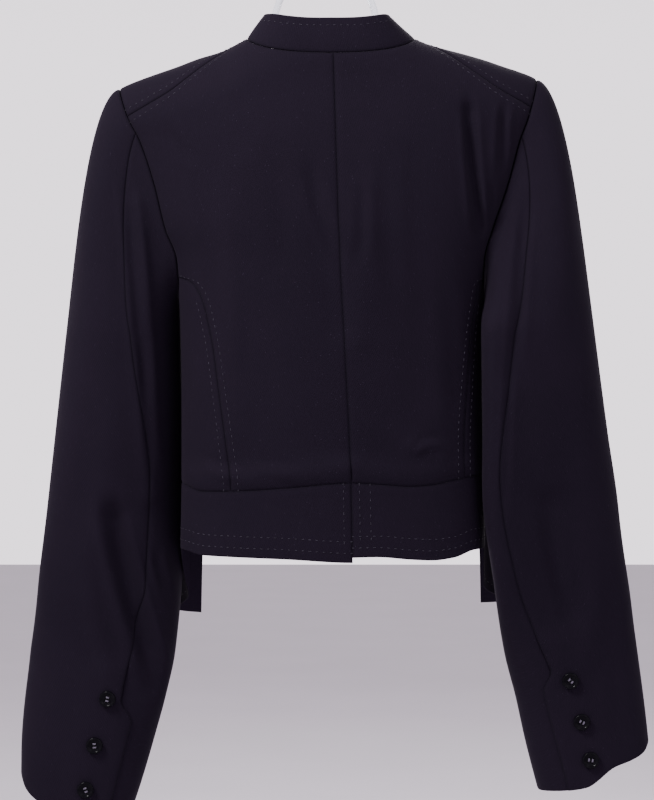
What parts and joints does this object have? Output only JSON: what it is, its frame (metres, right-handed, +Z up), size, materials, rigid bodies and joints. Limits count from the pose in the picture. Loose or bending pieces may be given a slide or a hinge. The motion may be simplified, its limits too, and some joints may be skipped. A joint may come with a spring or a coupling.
{
  "type": "cropped tuxedo jacket on a clear hanger",
  "caption": "Near-black cropped open-front jacket with stand collar, set-in two-piece sleeves, buttoned cuffs and waistband, hung on a clear hanger with a wire hook.",
  "frame": {"origin": "inner top of the hanger's hook, where the rail carries it", "axes": "+Z up, the garment's back faces -Y and its open front +Y, +X to the right in the back view"},
  "size_m": [0.5713, 0.1635, 0.8664],
  "materials": {
    "wool": "near-black twill, dull nap",
    "button": "glossy black",
    "clear_plastic": "clear moulded",
    "wire": "bright plated wire"
  },
  "bodies": {
    "root": {"collar": "wool", "back_left": "wool", "back_right": "wool", "side_back_left": "wool", "side_back_right": "wool", "front_left": "wool", "front_right": "wool", "waistband_left": "wool", "waistband_right": "wool", "upper_sleeve_left": "wool", "upper_sleeve_right": "wool", "under_sleeve_left": "wool", "under_sleeve_right": "wool", "button_left_1": "button", "button_left_2": "button", "button_left_3": "button", "button_right_1": "button", "button_right_2": "button", "button_right_3": "button", "hanger": "clear_plastic", "hook": "wire"}
  },
  "joints": []
}
